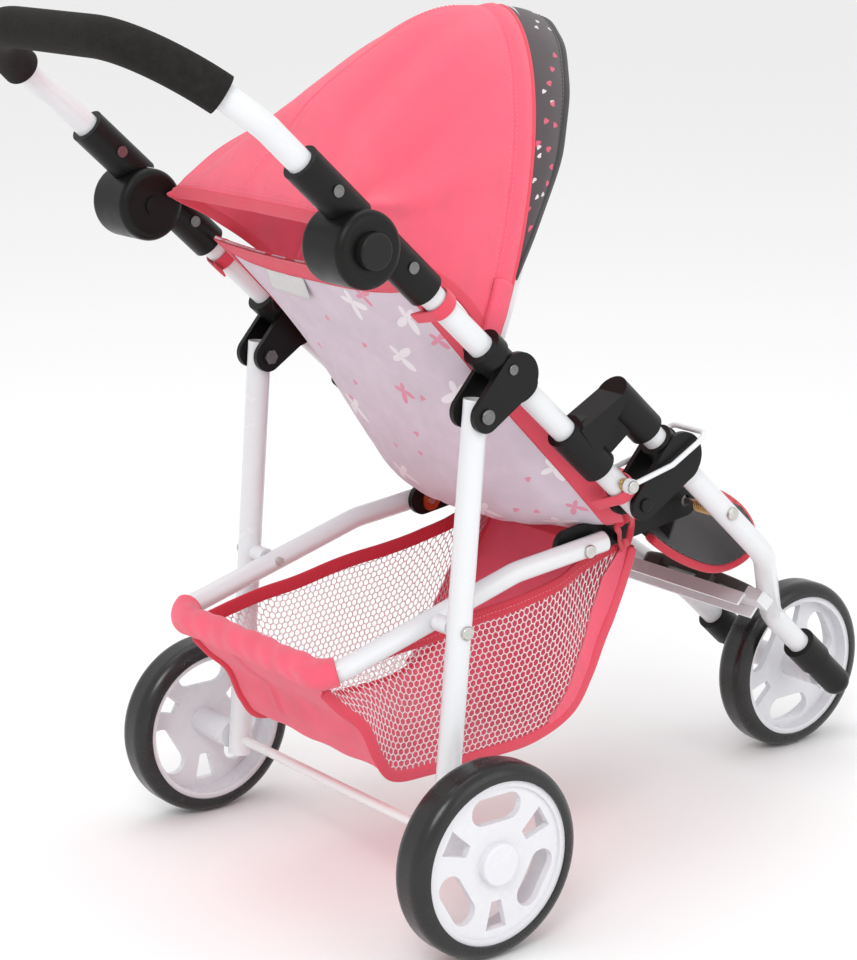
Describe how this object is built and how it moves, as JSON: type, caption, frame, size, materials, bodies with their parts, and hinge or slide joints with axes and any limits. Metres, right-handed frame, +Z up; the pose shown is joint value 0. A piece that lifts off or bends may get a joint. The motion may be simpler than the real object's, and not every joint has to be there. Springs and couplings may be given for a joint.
{
  "type": "doll stroller",
  "caption": "Folding three-wheeled doll jogger with sling seat, folding hood, under-seat basket, leg rest and tilting push handle.",
  "frame": {"origin": "on the floor, under the middle of the bounding box", "axes": "+Z up, -Y towards the front wheel (forward), -X the stroller's right side"},
  "size_m": [0.355, 0.6924, 0.5802],
  "materials": {
    "basket_cloth": "coral woven cloth with white mesh sides",
    "black_plastic": "satin black moulded plastic",
    "bow_plastic": "white springy plastic strip",
    "brass": "brassy spring wire",
    "bright_steel": "bright drawn steel rod",
    "button_grey": "satin dark grey plastic",
    "copper": "copper-coloured washer",
    "flap_cloth": "charcoal woven cloth with coral binding",
    "footrest_grey": "satin grey-black plastic",
    "grip_foam": "matt charcoal foam",
    "hood_cloth": "coral woven cloth",
    "rim_white": "gloss white moulding",
    "seat_cloth": "pale lilac woven cloth with a small print and coral binding",
    "tyre": "glossy black solid tyre",
    "visor_cloth": "charcoal woven cloth with tiny hearts",
    "white_paint": "gloss white powder coat",
    "zinc": "zinc-plated steel"
  },
  "bodies": {
    "frame": {"main_tube_right": "white_paint", "main_tube_left": "white_paint", "leg_bracket_right": "black_plastic", "leg_bracket_left": "black_plastic", "leg_bracket_rivets": "zinc", "leg_pivot_bolts": "zinc", "adjuster_base_right": "black_plastic", "adjuster_base_left": "black_plastic", "adjuster_bolts": "zinc", "sleeve_screws_low": "zinc", "catch_pin": "zinc", "catch_spring": "brass", "seat_fabric": "seat_cloth", "hood_fabric": "hood_cloth", "hood_clip_right": "black_plastic", "hood_clip_left": "black_plastic"},
    "handle": {"handle_tube": "white_paint", "handle_grip": "grip_foam", "adjuster_cap_right": "black_plastic", "adjuster_cap_left": "black_plastic", "sleeve_screws_high": "zinc", "button_spring_right": "brass", "button_spring_left": "brass"},
    "button_right": {"adjuster_button_right": "button_grey"},
    "button_left": {"adjuster_button_left": "button_grey"},
    "rear_legs": {"rear_leg_right": "white_paint", "rear_leg_left": "white_paint", "rear_axle": "bright_steel", "rear_push_nuts": "zinc", "basket_bolts": "zinc", "basket_spacers": "rim_white"},
    "rear_wheel_right": {"rear_rim_right": "rim_white", "rear_tyre_right": "tyre", "hub_cap_right": "rim_white"},
    "rear_wheel_left": {"rear_rim_left": "rim_white", "rear_tyre_left": "tyre", "hub_cap_left": "rim_white"},
    "basket_frame": {"basket_tube": "white_paint", "link_plate_right": "black_plastic", "link_plate_left": "black_plastic", "link_plate_bolts": "zinc", "copper_washers": "copper", "basket_fabric": "basket_cloth"},
    "front_frame": {"front_tube_right": "white_paint", "front_tube_left": "white_paint", "fold_bracket_right": "black_plastic", "fold_bracket_left": "black_plastic", "fold_bracket_rivets": "zinc", "fold_pivot_bolts": "zinc", "fork_cap_right": "black_plastic", "fork_cap_left": "black_plastic", "front_axle": "bright_steel", "front_spacers": "rim_white", "footrest_bar": "white_paint", "footrest_plate": "footrest_grey", "footrest_screws": "zinc", "link_bolts": "zinc", "link_springs": "brass"},
    "front_wheel": {"front_rim": "rim_white", "front_tyre": "tyre"},
    "lock_right": {"lock_slider_right": "black_plastic"},
    "lock_left": {"lock_slider_left": "black_plastic"},
    "catch": {"safety_catch": "bright_steel"},
    "hood_front": {"hood_bow": "bow_plastic", "hood_visor": "visor_cloth"},
    "leg_flap": {"leg_rest": "flap_cloth"}
  },
  "joints": [
    {"name": "front_fold", "type": "hinge", "parent": "frame", "child": "front_frame", "pos_m": [0, -0.00916, 0.261], "axis": [1, 0, 0], "range_deg": [0, 140], "deforming": ["basket_fabric"]},
    {"name": "leg_fold", "type": "hinge", "parent": "frame", "child": "rear_legs", "pos_m": [0, 0.12244, 0.33789], "axis": [1, 0, 0], "range_deg": [-0.5, 90.57]},
    {"name": "basket_fold", "type": "hinge", "parent": "rear_legs", "child": "basket_frame", "pos_m": [0, 0.13489, 0.2015], "axis": [1, 0, 0], "range_deg": [-47.53, 0.5]},
    {"name": "catch_swing", "type": "hinge", "parent": "frame", "child": "catch", "pos_m": [-0.118, 0.00845, 0.27731], "axis": [1, 0, 0], "range_deg": [-64, 0.5]},
    {"name": "handle_tilt", "type": "hinge", "parent": "frame", "child": "handle", "pos_m": [0, 0.21373, 0.44859], "axis": [1, 0, 0], "range_deg": [-115, 20]},
    {"name": "front_wheel_spin", "type": "hinge", "parent": "front_frame", "child": "front_wheel", "pos_m": [0, -0.28116, 0.065], "axis": [1, 0, 0], "continuous": true},
    {"name": "hood_fold", "type": "hinge", "parent": "frame", "child": "hood_front", "pos_m": [0, 0.09734, 0.374], "axis": [1, 0, 0], "range_deg": [-70, 0], "deforming": ["hood_fabric"]},
    {"name": "leg_rest_lift", "type": "hinge", "parent": "frame", "child": "leg_flap", "pos_m": [0, -0.06316, 0.2255], "axis": [1, 0, 0], "range_deg": [-40, 0]},
    {"name": "rear_wheel_spin_right", "type": "hinge", "parent": "rear_legs", "child": "rear_wheel_right", "pos_m": [-0.1615, 0.14734, 0.065], "axis": [1, 0, 0], "continuous": true},
    {"name": "lock_slide_right", "type": "slide", "parent": "frame", "child": "lock_right", "axis": [0, 0.7337, 0.6794], "range_m": [0, 0.045]},
    {"name": "button_press_right", "type": "slide", "parent": "handle", "child": "button_right", "axis": [1, 0, 0], "range_m": [0, 0.004], "stiffness_N_per_m": 400, "springref_m": -0.002},
    {"name": "rear_wheel_spin_left", "type": "hinge", "parent": "rear_legs", "child": "rear_wheel_left", "pos_m": [0.1615, 0.14734, 0.065], "axis": [1, 0, 0], "continuous": true},
    {"name": "lock_slide_left", "type": "slide", "parent": "frame", "child": "lock_left", "axis": [0, 0.7337, 0.6794], "range_m": [0, 0.045]},
    {"name": "button_press_left", "type": "slide", "parent": "handle", "child": "button_left", "axis": [-1, 0, 0], "range_m": [0, 0.004], "stiffness_N_per_m": 400, "springref_m": -0.002}
  ],
  "couplings": [
    {"joint": "leg_fold", "follows": "front_fold", "ratio": 0.63976},
    {"joint": "basket_fold", "follows": "front_fold", "ratio": -0.33237},
    {"joint": "catch_swing", "follows": "front_fold", "ratio": -0.45}
  ]
}
